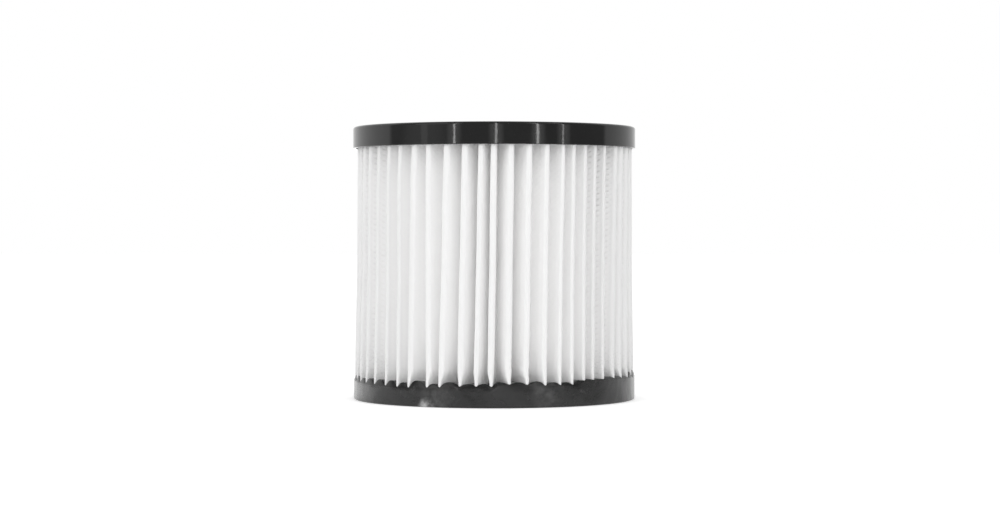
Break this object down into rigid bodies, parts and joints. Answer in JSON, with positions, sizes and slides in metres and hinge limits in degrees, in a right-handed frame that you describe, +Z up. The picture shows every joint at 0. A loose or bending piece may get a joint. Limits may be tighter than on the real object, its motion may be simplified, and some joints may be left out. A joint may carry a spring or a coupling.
{
  "type": "vacuum hepa filter",
  "caption": "Cylindrical pleated cartridge filter for a vacuum cleaner: a folded white sheet between a rigid end ring with a rubber-lined mouth and a closed, potted end cap.",
  "frame": {"origin": "centre of the face that the filter stands on, the underside of the closed end cap", "axes": "+Z up along the filter's axis, towards the open end ring"},
  "size_m": [0.125, 0.125, 0.12],
  "materials": {
    "ring_plastic": "polished black moulding",
    "collar_rubber": "dull black rubber",
    "filter_sheet": "white embossed nonwoven",
    "cage_plastic": "dull black moulding",
    "cap_polyurethane": "satin charcoal polyurethane"
  },
  "bodies": {
    "root": {"end_ring": "ring_plastic", "sealing_collar": "collar_rubber", "pleated_media": "filter_sheet", "support_cage": "cage_plastic", "end_cap": "cap_polyurethane"}
  },
  "joints": []
}
